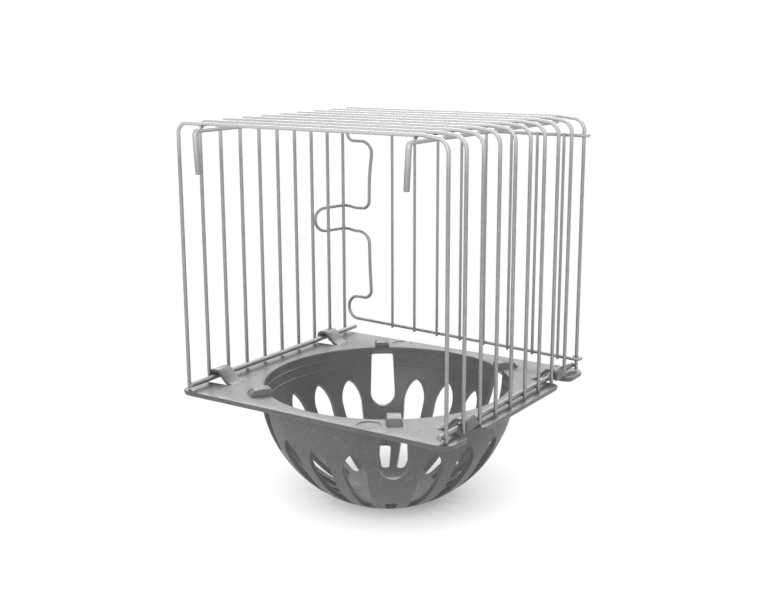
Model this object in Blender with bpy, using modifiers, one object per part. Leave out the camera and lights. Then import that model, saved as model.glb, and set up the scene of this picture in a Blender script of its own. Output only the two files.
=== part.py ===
"""Wire nest cage with a moulded nest pan under it and a side-hung door at the back.

Units are metres. +X is the door's hinge side, +Y the back with the door, +Z up. The open front faces -Y.
The origin is the centre of the flat foot under the bowl.
"""

import math

import bmesh
import bpy
from mathutils import Matrix, Vector

OBJECT_NAME = "wire_nest_cage"

# Clearances between pieces
WELD_GAP = 0.0003
CLIP_GAP = 0.00035
EYE_GAP = 0.00035
LEG_FOOT_GAP = 0.0005
NOTCH_GAP = 0.0009
NOTCH_FLARE = 0.0003

# Wire diameters
HOOP_WIRE = 0.0015
RAIL_WIRE = 0.0022
HANGER_WIRE = 0.0022
DOOR_WIRE = 0.0015
BAR_WIRE = 0.00125

# Hoops
HOOP_COUNT = 10
HOOP_PITCH = 0.0124
CAGE_WIDTH = 0.124
HOOP_HEIGHT = 0.1075
HOOP_LEFT_RADIUS = 0.0042
HOOP_RIGHT_RADIUS = 0.0052
HOOP_DROOP = 0.0012
HOOP_DROOP_RADIUS = 0.015

# Rails and hanger wires
RAIL_LIFT = 0.0012
RAIL_FRONT_END = 0.0015
RAIL_LEFT_BACK_END = 0.0060
RAIL_RIGHT_BACK_END = 0.0008
HANGER_INSET = 0.0130
HANGER_BACK_END = 0.0012
HOOK_REACH = 0.0046
HOOK_DROP = 0.0170
HOOK_BEND_RADIUS = 0.0024
HOOK_LEAN = 0.0010

# Door
DOOR_BOTTOM_HINGE_Z = 0.0034
DOOR_BOTTOM_FREE_Z = 0.0064
DOOR_TOP_Z = 0.1000
BAR_COUNT = 8
BAR_PITCH = 0.0123
BAR_FIRST = 0.0074
BAR_END = 0.0002
EYE_WRAP = math.radians(245)
EDGE_SETBACK = 0.0163
BUMP_CLEARANCE = 0.0042
LOWER_BUMP_HEIGHT = 0.0108
UPPER_BUMP_HEIGHT = 0.0074
EDGE_RADIUS = 0.0038
EDGE_LOWER_LEAN = 0.0012
EDGE_UPPER_LEAN = 0.0024
LATCH_Z = 0.0553
LATCH_HEIGHT = 0.0112
LATCH_LENGTH = 0.0152
LATCH_TURN = math.radians(60)
LATCH_DIP = math.radians(4)
LATCH_RUN_IN = 0.0085

# Pan
BOWL_RADIUS = 0.0544
BOWL_WALL = 0.0022
FOOT_RADIUS = 0.0123
RIM_FILLET = 0.0006
FLANGE_THICKNESS = 0.0020
FLANGE_EDGE_RADIUS = 0.0005
FLANGE_SIDE_MARGIN = 0.0030
FLANGE_END_MARGIN = 0.0032
FLANGE_LIP = 0.0030
FLANGE_CORNER_RADIUS = 0.0050
LOBE_RADIUS = 0.0030
RIDGE_DEPTH = 0.0003
RIDGE_DROPS = (0.0042, 0.0085)

# Slots in the bowl
SLOT_COUNT = 20
SLOT_CUT = 0.012
PETAL_INSET = 0.003
PETAL_AXIS = math.radians(50)
PETAL_TOP = math.radians(74.4)
PETAL_WIDEST = math.radians(63)
PETAL_BOTTOM = math.radians(23.5)
PETAL_WIDTH = 0.0096
PETAL_END_WIDTH = 0.0042
WINDOW_DROP = 0.0013
WINDOW_DEPTH = 0.0254
WINDOW_TOP_WIDTH = 0.0098
WINDOW_WIDTH = 0.0118
WINDOW_OVERCUT = 0.0008
LOWER_SLOT_TOP = math.radians(39)
LOWER_SLOT_WIDTH = 0.0060
LOWER_SLOT_END_WIDTH = 0.0034

# Liner tabs and snap clips
TAB_WIDTH = 0.0066
TAB_HEIGHT = 0.0026
TAB_THICKNESS = 0.0018
TAB_OVERHANG = 0.0010
TAB_ROOT = 0.0066
TAB_RAMP = 0.0044
CLIP_WIDTH = 0.0080
CLIP_THICKNESS = 0.0017
CLIP_REACH = 0.0092
CLIP_TIP_DROP = 0.0016
CLIP_BEND_RADIUS = 0.0014
CLIP_HOOPS = (1, 7)
CLIP_SHIFT = 0.0012

# Moulded witness rings on the flange
RING_RADIUS = 0.0046
RING_DEPTH = 0.0002
RING_X = 0.0268
RING_EDGE = 0.0056

# Places that follow from the sizes above
CAGE_HALF = CAGE_WIDTH / 2
ROW_HALF = (HOOP_COUNT - 1) * HOOP_PITCH / 2
BOWL_CENTRE = math.sqrt(BOWL_RADIUS**2 - FOOT_RADIUS**2)
FLANGE_TOP = BOWL_CENTRE
RAIL_Z = FLANGE_TOP + RAIL_LIFT + RAIL_WIRE / 2
RAIL_X = CAGE_HALF - HOOP_WIRE / 2 - WELD_GAP - RAIL_WIRE / 2
HOOP_TOP = RAIL_Z + HOOP_HEIGHT
HANGER_X = CAGE_HALF - HANGER_INSET
HANGER_Z = HOOP_TOP - HOOP_WIRE / 2 - WELD_GAP - HANGER_WIRE / 2
EYE_RADIUS = HOOP_WIRE / 2 + EYE_GAP + DOOR_WIRE / 2
HINGE = Vector((CAGE_HALF, ROW_HALF, RAIL_Z))
FLANGE_X = CAGE_HALF + FLANGE_SIDE_MARGIN
FLANGE_Y = max(ROW_HALF + FLANGE_END_MARGIN, BOWL_RADIUS + FLANGE_LIP)
BOWL_INSIDE = BOWL_RADIUS - BOWL_WALL

ROUND_STEPS = 72
BEND_STEPS = 5
WIRE_RESOLUTION = 3


def clear_scene():
    for old in list(bpy.data.objects):
        bpy.data.objects.remove(old)


def new_collection(name):
    collection = bpy.data.collections.new(name)
    bpy.context.scene.collection.children.link(collection)
    return collection


def new_material(name, colour, roughness, metallic):
    material = bpy.data.materials.new(name)
    material.use_nodes = True
    shader = material.node_tree.nodes["Principled BSDF"]
    shader.inputs["Base Color"].default_value = (*colour, 1.0)
    shader.inputs["Roughness"].default_value = roughness
    shader.inputs["Metallic"].default_value = metallic
    return material


def bend(before, corner, after, radius):
    """Points of a round bend of this radius that replaces a sharp corner."""
    into = (corner - before).normalized()
    out = (after - corner).normalized()
    turn = into.angle(out)
    if radius <= 0 or turn < 1e-4:
        return [corner]
    start = corner - into * radius * math.tan(turn / 2)
    centre = corner + (out - into).normalized() * radius / math.cos(turn / 2)
    axis = into.cross(out).normalized()
    spoke = start - centre
    steps = max(2, math.ceil(BEND_STEPS * turn / (math.pi / 2)))
    return [centre + Matrix.Rotation(turn * i / steps, 3, axis) @ spoke for i in range(steps + 1)]


def rounded(corners, radii, closed=False):
    """The path through the corners, with each corner rounded to its radius."""
    corners = [Vector(corner) for corner in corners]
    count = len(corners)
    path = []
    for i, corner in enumerate(corners):
        if not closed and i in (0, count - 1):
            path.append(corner)
            continue
        path += bend(corners[i - 1], corner, corners[(i + 1) % count], radii[i])
    return path


def add_spline(curve, points, closed):
    spline = curve.splines.new("POLY")
    spline.points.add(len(points) - 1)
    for target, point in zip(spline.points, points):
        target.co = (*point, 1.0)
    spline.use_cyclic_u = closed


def wire(name, points, diameter, material, collection):
    """A round wire with closed ends along the points."""
    curve = bpy.data.curves.new(name, "CURVE")
    curve.dimensions = "3D"
    curve.twist_mode = "MINIMUM"
    curve.bevel_depth = diameter / 2
    curve.bevel_resolution = WIRE_RESOLUTION
    curve.use_fill_caps = True
    add_spline(curve, points, False)
    made = bpy.data.objects.new(name, curve)
    made.data.materials.append(material)
    collection.objects.link(made)
    return made


def plate(name, outline, thickness, collection, edge_radius=0.0):
    """A closed mesh plate with this flat outline, centred on its own XY plane."""
    curve = bpy.data.curves.new(name, "CURVE")
    curve.dimensions = "2D"
    curve.fill_mode = "BOTH"
    curve.extrude = thickness / 2 - edge_radius
    curve.bevel_depth = edge_radius
    curve.bevel_resolution = 1
    curve.offset = -edge_radius
    add_spline(curve, [(point[0], point[1], 0.0) for point in outline], True)
    drawn = bpy.data.objects.new(name, curve)
    collection.objects.link(drawn)
    graph = bpy.context.evaluated_depsgraph_get()
    mesh = bpy.data.meshes.new_from_object(drawn.evaluated_get(graph))
    bpy.data.objects.remove(drawn)
    shape = bmesh.new()
    shape.from_mesh(mesh)
    bmesh.ops.remove_doubles(shape, verts=shape.verts, dist=1e-6)
    bmesh.ops.dissolve_limit(shape, angle_limit=1e-3, verts=shape.verts, edges=shape.edges)
    bmesh.ops.recalc_face_normals(shape, faces=shape.faces)
    shape.to_mesh(mesh)
    shape.free()
    mesh.shade_smooth()
    mesh.set_sharp_from_angle(angle=math.radians(35))
    made = bpy.data.objects.new(name, mesh)
    collection.objects.link(made)
    return made


def turned(name, profile, collection):
    """A solid of revolution about Z from a profile that runs from top to bottom."""
    mesh = bpy.data.meshes.new(name)
    edges = [(i, i + 1) for i in range(len(profile) - 1)]
    mesh.from_pydata([(radius, 0.0, height) for radius, height in profile], edges, [])
    made = bpy.data.objects.new(name, mesh)
    collection.objects.link(made)
    spin = made.modifiers.new("turn", "SCREW")
    spin.steps = ROUND_STEPS
    spin.render_steps = ROUND_STEPS
    spin.use_merge_vertices = True
    spin.merge_threshold = 0.00005
    return made


def join_meshes(name, pieces, collection):
    """One helper mesh that holds all the pieces in place."""
    bpy.context.view_layer.update()
    shape = bmesh.new()
    for piece in pieces:
        moved = piece.data.copy()
        moved.transform(piece.matrix_world)
        shape.from_mesh(moved)
        bpy.data.meshes.remove(moved)
        bpy.data.objects.remove(piece)
    mesh = bpy.data.meshes.new(name)
    shape.to_mesh(mesh)
    shape.free()
    made = bpy.data.objects.new(name, mesh)
    collection.objects.link(made)
    return made


def combine(target, other, operation):
    step = target.modifiers.new(f"{operation.lower()}_{other.name}", "BOOLEAN")
    step.operation = operation
    step.solver = "EXACT"
    step.object = other
    other.hide_render = True
    other.display_type = "WIRE"


def hoop_y(index):
    return -ROW_HALF + index * HOOP_PITCH


def hoop_points(index):
    y = hoop_y(index)
    foot = FLANGE_TOP + LEG_FOOT_GAP
    droop_start = HANGER_X + HANGER_WIRE
    corners = [
        (-CAGE_HALF, y, foot),
        (-CAGE_HALF, y, HOOP_TOP),
        (droop_start, y, HOOP_TOP),
        (CAGE_HALF, y, HOOP_TOP - HOOP_DROOP),
        (CAGE_HALF, y, foot),
    ]
    return rounded(corners, [0, HOOP_LEFT_RADIUS, HOOP_DROOP_RADIUS, HOOP_RIGHT_RADIUS, 0])


def hanger_points(side):
    x = side * HANGER_X
    front = -ROW_HALF - HOOK_REACH
    corners = [
        (x, ROW_HALF + HANGER_BACK_END, HANGER_Z),
        (x, front, HANGER_Z),
        (x - side * HOOK_LEAN, front, HANGER_Z - HOOK_DROP),
    ]
    return rounded(corners, [0, HOOK_BEND_RADIUS, 0])


def rail_height(x):
    """Height of the door's bottom rail above the cage rails at this distance from the hinge."""
    free = CAGE_WIDTH - EDGE_SETBACK
    return DOOR_BOTTOM_HINGE_Z + (DOOR_BOTTOM_FREE_Z - DOOR_BOTTOM_HINGE_Z) * x / free


def eye_points(height):
    """An eye round the hinge leg, from its free end to where it meets the rail."""
    steps = math.ceil(BEND_STEPS * EYE_WRAP / (math.pi / 2))
    turns = [-math.pi / 2 + EYE_WRAP * (1 - i / steps) for i in range(steps + 1)]
    return [Vector((EYE_RADIUS * math.cos(t), EYE_RADIUS * math.sin(t), height)) for t in turns]


def door_edge_corners():
    """Corners and bend radii of the wavy free edge, from the bottom rail up to the top rail."""
    plane = -EYE_RADIUS
    straight = EDGE_SETBACK - CAGE_WIDTH
    tip = BUMP_CLEARANCE - CAGE_WIDTH
    low = rail_height(CAGE_WIDTH - BUMP_CLEARANCE)
    low_back = low + LOWER_BUMP_HEIGHT
    high_back = DOOR_TOP_Z - UPPER_BUMP_HEIGHT
    latch_low = LATCH_Z - LATCH_HEIGHT / 2
    latch_high = LATCH_Z + LATCH_HEIGHT / 2
    wrap_x = -CAGE_WIDTH - EYE_RADIUS * math.tan(LATCH_TURN / 2)
    run_in = -CAGE_WIDTH + LATCH_RUN_IN
    dip = -LATCH_LENGTH * math.tan(LATCH_DIP)
    out = Vector((-math.cos(LATCH_TURN), -math.sin(LATCH_TURN), 0.0)) * LATCH_LENGTH
    end = Vector((wrap_x, EYE_RADIUS, dip)) + out
    loop = LATCH_HEIGHT / 2 - 0.0001
    return [
        ((tip, plane, low), LOWER_BUMP_HEIGHT / 2 - 0.0001),
        ((tip, plane, low_back), LOWER_BUMP_HEIGHT / 2 - 0.0001),
        ((straight + EDGE_LOWER_LEAN, plane, low_back), EDGE_RADIUS),
        ((straight, plane, latch_low), EDGE_RADIUS),
        ((run_in, plane, latch_low), EDGE_RADIUS),
        ((-CAGE_WIDTH + EYE_RADIUS, EYE_RADIUS, latch_low), EDGE_RADIUS),
        ((wrap_x, EYE_RADIUS, latch_low), EYE_RADIUS),
        ((end.x, end.y, latch_low + dip), loop),
        ((end.x, end.y, latch_high + dip), loop),
        ((wrap_x, EYE_RADIUS, latch_high), EYE_RADIUS),
        ((-CAGE_WIDTH + EYE_RADIUS, EYE_RADIUS, latch_high), EDGE_RADIUS),
        ((run_in, plane, latch_high), EDGE_RADIUS),
        ((straight, plane, latch_high), EDGE_RADIUS),
        ((straight + EDGE_UPPER_LEAN, plane, high_back), EDGE_RADIUS),
        ((tip, plane, high_back), UPPER_BUMP_HEIGHT / 2 - 0.0001),
        ((tip, plane, DOOR_TOP_Z), UPPER_BUMP_HEIGHT / 2 - 0.0001),
    ]


def door_frame_points():
    """The door's outer wire from eye to eye, measured from the hinge axis."""
    edge = door_edge_corners()
    start = Vector((0.0, -EYE_RADIUS, rail_height(0.0)))
    finish = Vector((0.0, -EYE_RADIUS, DOOR_TOP_Z))
    corners = [start] + [place for place, radius in edge] + [finish]
    radii = [0] + [radius for place, radius in edge] + [0]
    middle = rounded(corners, radii)
    return eye_points(rail_height(0.0)) + middle[1:-1] + eye_points(DOOR_TOP_Z)[::-1]


def bar_points(index):
    x = BAR_FIRST + index * BAR_PITCH
    y = -EYE_RADIUS - DOOR_WIRE / 2 - WELD_GAP - BAR_WIRE / 2
    low = rail_height(x) - DOOR_WIRE / 2 - BAR_END
    high = DOOR_TOP_Z + DOOR_WIRE / 2 + BAR_END
    return [(-x, y, low), (-x, y, high)]


def clip_y(index):
    """Middle of the clip between this hoop and the next, set towards the nearer end of the row."""
    middle = hoop_y(index) + HOOP_PITCH / 2
    return middle + math.copysign(CLIP_SHIFT, middle)


def flange_outline():
    """The flange seen from above, with a notch open to the edge under each clip."""
    notch_in = RAIL_X - CLIP_REACH
    notch_half = CLIP_WIDTH / 2 + NOTCH_GAP
    mouth_half = notch_half + NOTCH_FLARE
    inner = NOTCH_GAP * 2
    side = []
    for index in CLIP_HOOPS:
        middle = clip_y(index)
        side += [
            ((FLANGE_X, middle - mouth_half, 0), LOBE_RADIUS),
            ((notch_in, middle - notch_half, 0), inner),
            ((notch_in, middle + notch_half, 0), inner),
            ((FLANGE_X, middle + mouth_half, 0), LOBE_RADIUS),
        ]
    right = [((FLANGE_X, -FLANGE_Y, 0), FLANGE_CORNER_RADIUS)]
    right += side
    right += [((FLANGE_X, FLANGE_Y, 0), FLANGE_CORNER_RADIUS)]
    left = [((-place[0], place[1], 0), radius) for place, radius in reversed(right)]
    corners = right + left
    return rounded([place for place, radius in corners], [radius for place, radius in corners], True)


def sphere_profile(radius, stop):
    """Profile of the half sphere from its widest circle down to the height where it is cut flat."""
    steps = 14
    last = math.acos((BOWL_CENTRE - stop) / radius)
    angles = [math.pi / 2 + (last - math.pi / 2) * i / steps for i in range(steps + 1)]
    return [(radius * math.sin(a), BOWL_CENTRE - radius * math.cos(a)) for a in angles]


def ridge_profile():
    """Two fine ridges round the inside of the bowl, just under the rim."""
    points = []
    for drop in RIDGE_DROPS:
        z = BOWL_CENTRE - drop
        wall = math.sqrt(BOWL_INSIDE**2 - drop**2)
        points += [(wall, z + RIDGE_DEPTH), (wall - RIDGE_DEPTH, z), (wall, z - RIDGE_DEPTH)]
    return points


def cavity_profile():
    """Inside of the bowl: fillet at the rim, two ridges, half sphere and flat floor."""
    above = FLANGE_TOP + FLANGE_THICKNESS
    steps = 4
    profile = [(0.0, above), (BOWL_INSIDE + RIM_FILLET, above)]
    for i in range(steps + 1):
        a = math.pi / 2 * i / steps
        radius = BOWL_INSIDE + RIM_FILLET * (1 - math.sin(a))
        profile.append((radius, FLANGE_TOP - RIM_FILLET * (1 - math.cos(a))))
    ridges = ridge_profile()
    lowest = ridges[-1][1]
    profile += ridges
    profile += [point for point in sphere_profile(BOWL_INSIDE, BOWL_WALL) if point[1] < lowest - RIDGE_DEPTH]
    profile.append((0.0, BOWL_WALL))
    return profile


def bowl_profile():
    """Outside of the bowl, from the middle of the flange's thickness down to the flat foot."""
    top = FLANGE_TOP - FLANGE_THICKNESS / 2
    wall = math.sqrt(BOWL_RADIUS**2 - (BOWL_CENTRE - top) ** 2)
    below = [point for point in sphere_profile(BOWL_RADIUS, 0.0) if point[1] < top - FLANGE_THICKNESS]
    return [(0.0, top), (wall, top)] + below + [(0.0, 0.0)]


def slot_matrix(azimuth, polar):
    """Frame on the bowl's wall: X along the rim, Y up the wall, Z outwards."""
    out = Vector((math.sin(polar) * math.cos(azimuth), math.sin(polar) * math.sin(azimuth), -math.cos(polar)))
    up = Vector((math.cos(polar) * math.cos(azimuth), math.cos(polar) * math.sin(azimuth), math.sin(polar)))
    along = up.cross(out)
    frame = Matrix((along, up, out)).transposed().to_4x4()
    frame.translation = Vector((0.0, 0.0, BOWL_CENTRE)) + out * BOWL_RADIUS
    return frame


def petal_outline():
    """A leaf with a slightly pointed top and a narrow round lower end."""
    top = BOWL_INSIDE * math.sin(PETAL_TOP - PETAL_AXIS)
    bottom = BOWL_INSIDE * math.sin(PETAL_BOTTOM - PETAL_AXIS)
    wide = BOWL_INSIDE * math.sin(PETAL_WIDEST - PETAL_AXIS)
    end = PETAL_END_WIDTH / 2
    half = [(0.0, top)]
    for i in range(5, -1, -1):
        a = math.pi / 2 * i / 6
        half.append((PETAL_WIDTH / 2 * math.cos(a) ** 1.3, wide + (top - wide) * math.sin(a)))
    for i in range(4):
        a = math.pi / 2 * i / 4
        half.append((end * math.cos(a), bottom + end - end * math.sin(a)))
    mirrored = [(-x, y) for x, y in reversed(half[1:])]
    return half + [(0.0, bottom)] + mirrored


def window_outline():
    """A U-shaped opening that starts just under the rim."""
    top = -WINDOW_DROP
    radius = WINDOW_WIDTH / 2
    middle = top - WINDOW_DEPTH + radius
    steps = 10
    round_end = []
    for i in range(steps + 1):
        a = math.pi * i / steps
        round_end.append((radius * math.cos(a), middle - radius * math.sin(a)))
    return [(WINDOW_TOP_WIDTH / 2, top)] + round_end + [(-WINDOW_TOP_WIDTH / 2, top)]


def lower_slot_outline():
    """A short tapered slot in line under each window."""
    middle = (LOWER_SLOT_TOP + PETAL_BOTTOM) / 2
    reach = BOWL_INSIDE * math.sin((LOWER_SLOT_TOP - PETAL_BOTTOM) / 2)
    top = LOWER_SLOT_WIDTH / 2
    end = LOWER_SLOT_END_WIDTH / 2
    corners = [(top, reach, 0), (-top, reach, 0), (-end, -reach, 0), (end, -reach, 0)]
    return middle, rounded(corners, [top / 2, top / 2, end * 0.7, end * 0.7], True)


def window_reach():
    """Thickness of the window's cutter and how far its middle lies inside the bowl's outer face."""
    inner = math.sqrt(BOWL_INSIDE**2 - (WINDOW_DROP + WINDOW_DEPTH) ** 2) - BOWL_WALL
    outer = BOWL_RADIUS + WINDOW_OVERCUT
    return outer - inner, BOWL_RADIUS - (outer + inner) / 2


def slot_cutters(collection):
    """All the slots of the bowl as one cutter."""
    cutters = []
    petal = petal_outline()
    window = window_outline()
    window_depth, window_inset = window_reach()
    lower_axis, lower = lower_slot_outline()
    deep = BOWL_WALL + SLOT_CUT
    for k in range(SLOT_COUNT):
        azimuth = 2 * math.pi * k / SLOT_COUNT
        if k % 10 in (3, 7):
            shapes = [(window, math.pi / 2, window_depth, window_inset), (lower, lower_axis, deep, 0.0)]
        else:
            shapes = [(petal, PETAL_AXIS, deep, PETAL_INSET)]
        for outline, polar, depth, inset in shapes:
            cutter = plate(f"slot_{k}_{len(cutters)}", outline, depth, collection)
            cutter.matrix_world = slot_matrix(azimuth, polar) @ Matrix.Translation((0.0, 0.0, -inset))
            cutters.append(cutter)
    return join_meshes("bowl_slots", cutters, collection)


def tab_outline():
    """Side view of a liner tab: X outwards from the bowl's axis, Y up from the flange, ramped on the outside."""
    tip = BOWL_INSIDE - TAB_OVERHANG
    root = BOWL_RADIUS + TAB_ROOT
    neck = BOWL_INSIDE + RIM_FILLET
    sunk = -FLANGE_THICKNESS / 2
    return [
        (root, sunk),
        (root, 0.0),
        (root - TAB_RAMP, TAB_HEIGHT),
        (tip, TAB_HEIGHT),
        (tip, TAB_HEIGHT - TAB_THICKNESS),
        (neck, TAB_HEIGHT - TAB_THICKNESS),
        (neck + TAB_HEIGHT - TAB_THICKNESS, sunk),
    ]


def liner_tabs(collection):
    tabs = []
    upright = Matrix(((1, 0, 0, 0), (0, 0, -1, 0), (0, 1, 0, FLANGE_TOP), (0, 0, 0, 1)))
    for k in range(SLOT_COUNT):
        if k % 10 in (3, 7):
            tab = plate(f"tab_{k}", tab_outline(), TAB_WIDTH, collection)
            tab.matrix_world = Matrix.Rotation(2 * math.pi * k / SLOT_COUNT, 4, "Z") @ upright
            tabs.append(tab)
    return join_meshes("liner_tabs", tabs, collection)


def clip_outline():
    """Side view of a snap clip round its rail: X outwards and Y up from the rail's centre."""
    off = RAIL_WIRE / 2 + CLIP_GAP + CLIP_THICKNESS / 2
    root = FLANGE_TOP - FLANGE_THICKNESS / 2 - RAIL_Z
    centre_line = [
        (-CLIP_REACH - CLIP_THICKNESS * 1.6, root, 0),
        (-CLIP_REACH - CLIP_THICKNESS * 0.4, root, 0),
        (-off * 0.45, off, 0),
        (off, off, 0),
        (off, -CLIP_TIP_DROP, 0),
    ]
    sides = []
    for sign in (1, -1):
        offset = [Vector(p) for p in centre_line]
        shifted = []
        for i, point in enumerate(offset):
            before = offset[max(i - 1, 0)]
            after = offset[min(i + 1, len(offset) - 1)]
            first = (point - before if i else after - point).normalized()
            second = (after - point if i < len(offset) - 1 else point - before).normalized()
            normal = (Vector((-first.y, first.x, 0)) + Vector((-second.y, second.x, 0))).normalized()
            cosine = normal.dot(Vector((-first.y, first.x, 0)))
            shifted.append(point + normal * sign * CLIP_THICKNESS / 2 / cosine)
        inner = CLIP_BEND_RADIUS - CLIP_THICKNESS / 2
        outer = CLIP_BEND_RADIUS + CLIP_THICKNESS / 2
        radius = outer if sign > 0 else inner
        sides.append(rounded(shifted, [0, CLIP_BEND_RADIUS, radius, radius, 0]))
    return sides[0] + sides[1][::-1]


def snap_clips(collection):
    clips = []
    for side in (1, -1):
        for index in CLIP_HOOPS:
            clip = plate(f"clip_{side}_{index}", clip_outline(), CLIP_WIDTH, collection)
            middle = clip_y(index)
            clip.matrix_world = Matrix(
                ((side, 0, 0, side * RAIL_X), (0, 0, -side, middle), (0, 1, 0, RAIL_Z), (0, 0, 0, 1))
            )
            clips.append(clip)
    return join_meshes("snap_clips", clips, collection)


def witness_rings(collection):
    """Shallow round marks in the flange's top at two opposite corners of the opening."""
    rings = []
    for sign in (1, -1):
        shape = bmesh.new()
        bmesh.ops.create_cone(
            shape, cap_ends=True, segments=32, radius1=RING_RADIUS, radius2=RING_RADIUS, depth=RING_DEPTH * 2
        )
        mesh = bpy.data.meshes.new("ring")
        shape.to_mesh(mesh)
        shape.free()
        ring = bpy.data.objects.new("ring", mesh)
        ring.location = (sign * RING_X, -sign * (FLANGE_Y - RING_EDGE), FLANGE_TOP)
        collection.objects.link(ring)
        rings.append(ring)
    return join_meshes("witness_rings", rings, collection)


def nest_pan(material, collection, helpers):
    pan = plate("nest_pan", flange_outline(), FLANGE_THICKNESS, collection, FLANGE_EDGE_RADIUS)
    pan.data.transform(Matrix.Translation((0.0, 0.0, FLANGE_TOP - FLANGE_THICKNESS / 2)))
    pan.data.materials.append(material)
    combine(pan, turned("bowl_body", bowl_profile(), helpers), "UNION")
    combine(pan, turned("bowl_cavity", cavity_profile(), helpers), "DIFFERENCE")
    combine(pan, slot_cutters(helpers), "DIFFERENCE")
    combine(pan, witness_rings(helpers), "DIFFERENCE")
    combine(pan, liner_tabs(helpers), "UNION")
    combine(pan, snap_clips(helpers), "UNION")
    return pan


def main():
    clear_scene()
    parts = new_collection(OBJECT_NAME)
    helpers = new_collection("cutters")
    plated = (0.52, 0.53, 0.53)
    hoop_metal = new_material("hoop_wire", plated, 0.32, 1.0)
    rail_metal = new_material("rail_wire", plated, 0.35, 1.0)
    hanger_metal = new_material("hanger_wire", plated, 0.35, 1.0)
    door_metal = new_material("door_wire", plated, 0.32, 1.0)
    bar_metal = new_material("door_bar_wire", plated, 0.32, 1.0)
    grey_plastic = new_material("pan_plastic", (0.36, 0.37, 0.36), 0.42, 0.0)

    nest_pan(grey_plastic, parts, helpers)
    for i in range(HOOP_COUNT):
        wire(f"hoop_{i + 1:02d}", hoop_points(i), HOOP_WIRE, hoop_metal, parts)

    front = -ROW_HALF - RAIL_FRONT_END
    for name, side, back_end in (("left", -1, RAIL_LEFT_BACK_END), ("right", 1, RAIL_RIGHT_BACK_END)):
        rail = [(side * RAIL_X, front, RAIL_Z), (side * RAIL_X, ROW_HALF + back_end, RAIL_Z)]
        wire(f"rail_{name}", rail, RAIL_WIRE, rail_metal, parts)
        wire(f"hanger_wire_{name}", hanger_points(side), HANGER_WIRE, hanger_metal, parts)

    hinge = bpy.data.objects.new("door_hinge", None)
    hinge.location = HINGE
    parts.objects.link(hinge)
    frame = wire("door_frame_wire", door_frame_points(), DOOR_WIRE, door_metal, parts)
    frame.parent = hinge
    for i in range(BAR_COUNT):
        bar = wire(f"door_bar_{i + 1}", bar_points(i), BAR_WIRE, bar_metal, parts)
        bar.parent = hinge


main()
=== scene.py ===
from math import acos, ceil, copysign, cos, hypot, pi, radians, sin, sqrt, tan

import bmesh
import bpy
import numpy as np
from mathutils import Matrix, Vector, noise
from mathutils.geometry import delaunay_2d_cdt
from mathutils.kdtree import KDTree


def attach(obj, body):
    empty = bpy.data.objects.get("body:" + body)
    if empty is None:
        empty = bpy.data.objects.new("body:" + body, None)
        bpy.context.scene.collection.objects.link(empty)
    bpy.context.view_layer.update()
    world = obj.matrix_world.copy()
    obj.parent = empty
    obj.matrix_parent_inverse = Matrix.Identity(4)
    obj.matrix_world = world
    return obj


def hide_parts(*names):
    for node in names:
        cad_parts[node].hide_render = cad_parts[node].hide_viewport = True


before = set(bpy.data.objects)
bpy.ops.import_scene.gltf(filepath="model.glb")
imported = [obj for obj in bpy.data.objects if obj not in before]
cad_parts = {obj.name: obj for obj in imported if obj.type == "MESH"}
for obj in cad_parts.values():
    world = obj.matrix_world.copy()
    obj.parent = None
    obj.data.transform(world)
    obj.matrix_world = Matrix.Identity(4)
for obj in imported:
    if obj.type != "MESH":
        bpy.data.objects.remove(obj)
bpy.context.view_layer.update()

# Cage sizes shared with the solids, in metres
WELD_GAP = 0.0003
LEG_FOOT_GAP = 0.0005
HOOP_WIRE = 0.0015
RAIL_WIRE = 0.0022
HANGER_WIRE = 0.0022
HOOP_COUNT = 10
HOOP_PITCH = 0.0124
CAGE_WIDTH = 0.124
HOOP_HEIGHT = 0.1075
HOOP_LEFT_RADIUS = 0.0042
HOOP_RIGHT_RADIUS = 0.0052
HOOP_DROOP = 0.0012
HOOP_DROOP_RADIUS = 0.015
RAIL_LIFT = 0.0012
RAIL_FRONT_END = 0.0015
RAIL_LEFT_BACK_END = 0.006
RAIL_RIGHT_BACK_END = 0.0008
HANGER_INSET = 0.013
HANGER_BACK_END = 0.0012
HOOK_REACH = 0.0046
HOOK_DROP = 0.017
HOOK_BEND_RADIUS = 0.0024
HOOK_LEAN = 0.001

# Door sizes shared with the solids
DOOR_WIRE = 0.0015
BAR_WIRE = 0.00125
EYE_GAP = 0.00035
EYE_WRAP = radians(245)
DOOR_BOTTOM_HINGE_Z = 0.0034
DOOR_BOTTOM_FREE_Z = 0.0064
DOOR_TOP_Z = 0.1
BAR_COUNT = 8
BAR_PITCH = 0.0123
BAR_FIRST = 0.0074
BAR_END = 0.0002
EDGE_SETBACK = 0.0163
EDGE_RADIUS = 0.0038
EDGE_LOWER_LEAN = 0.0012
EDGE_UPPER_LEAN = 0.0024
BUMP_CLEARANCE = 0.0042
LOWER_BUMP_HEIGHT = 0.0108
UPPER_BUMP_HEIGHT = 0.0074
LATCH_Z = 0.0553
LATCH_HEIGHT = 0.0112
LATCH_LENGTH = 0.0152
LATCH_TURN = radians(60)
LATCH_DIP = radians(4)
LATCH_RUN_IN = 0.0085

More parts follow.
